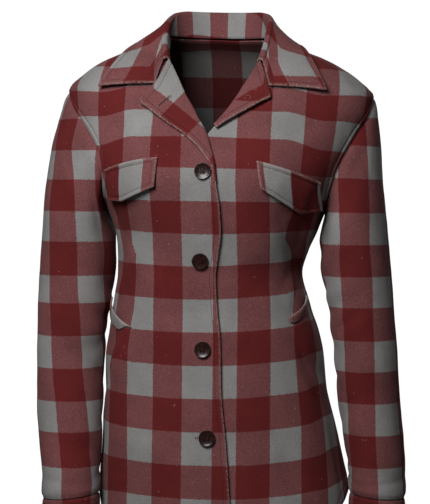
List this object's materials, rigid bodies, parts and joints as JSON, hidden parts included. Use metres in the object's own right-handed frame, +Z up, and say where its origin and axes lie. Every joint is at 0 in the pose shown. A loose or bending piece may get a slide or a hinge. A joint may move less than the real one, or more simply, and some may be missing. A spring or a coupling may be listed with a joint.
{
  "type": "women's shirt-style wool jacket",
  "caption": "Hip-length shirt-style wool jacket in its worn hollow form, with a notched collar, turned-out lapels, chest flaps, slanted hip pockets and a curved hem",
  "frame": {"origin": "the middle of the neck base between the shoulders, where the wearer's shoulders carry the jacket", "axes": "+Z up, -Y to the wearer's front, +X to the wearer's left"},
  "size_m": [0.5327, 0.2647, 0.7632],
  "materials": {
    "check_wool": "brushed wool, red and grey block check, matt with a short nap",
    "dark_button": "dark brown, half gloss, dished face with a raised rim"
  },
  "bodies": {
    "root": {"front_right": "check_wool", "front_left": "check_wool", "back": "check_wool", "sleeve_right": "check_wool", "sleeve_left": "check_wool", "cuff_right": "check_wool", "cuff_left": "check_wool", "collar": "check_wool", "lapel_right": "check_wool", "lapel_left": "check_wool", "flap_right": "check_wool", "flap_left": "check_wool", "welt_right": "check_wool", "welt_left": "check_wool", "button_1": "dark_button", "button_2": "dark_button", "button_3": "dark_button", "button_4": "dark_button", "cuff_button_right": "dark_button", "cuff_button_left": "dark_button"}
  },
  "joints": []
}
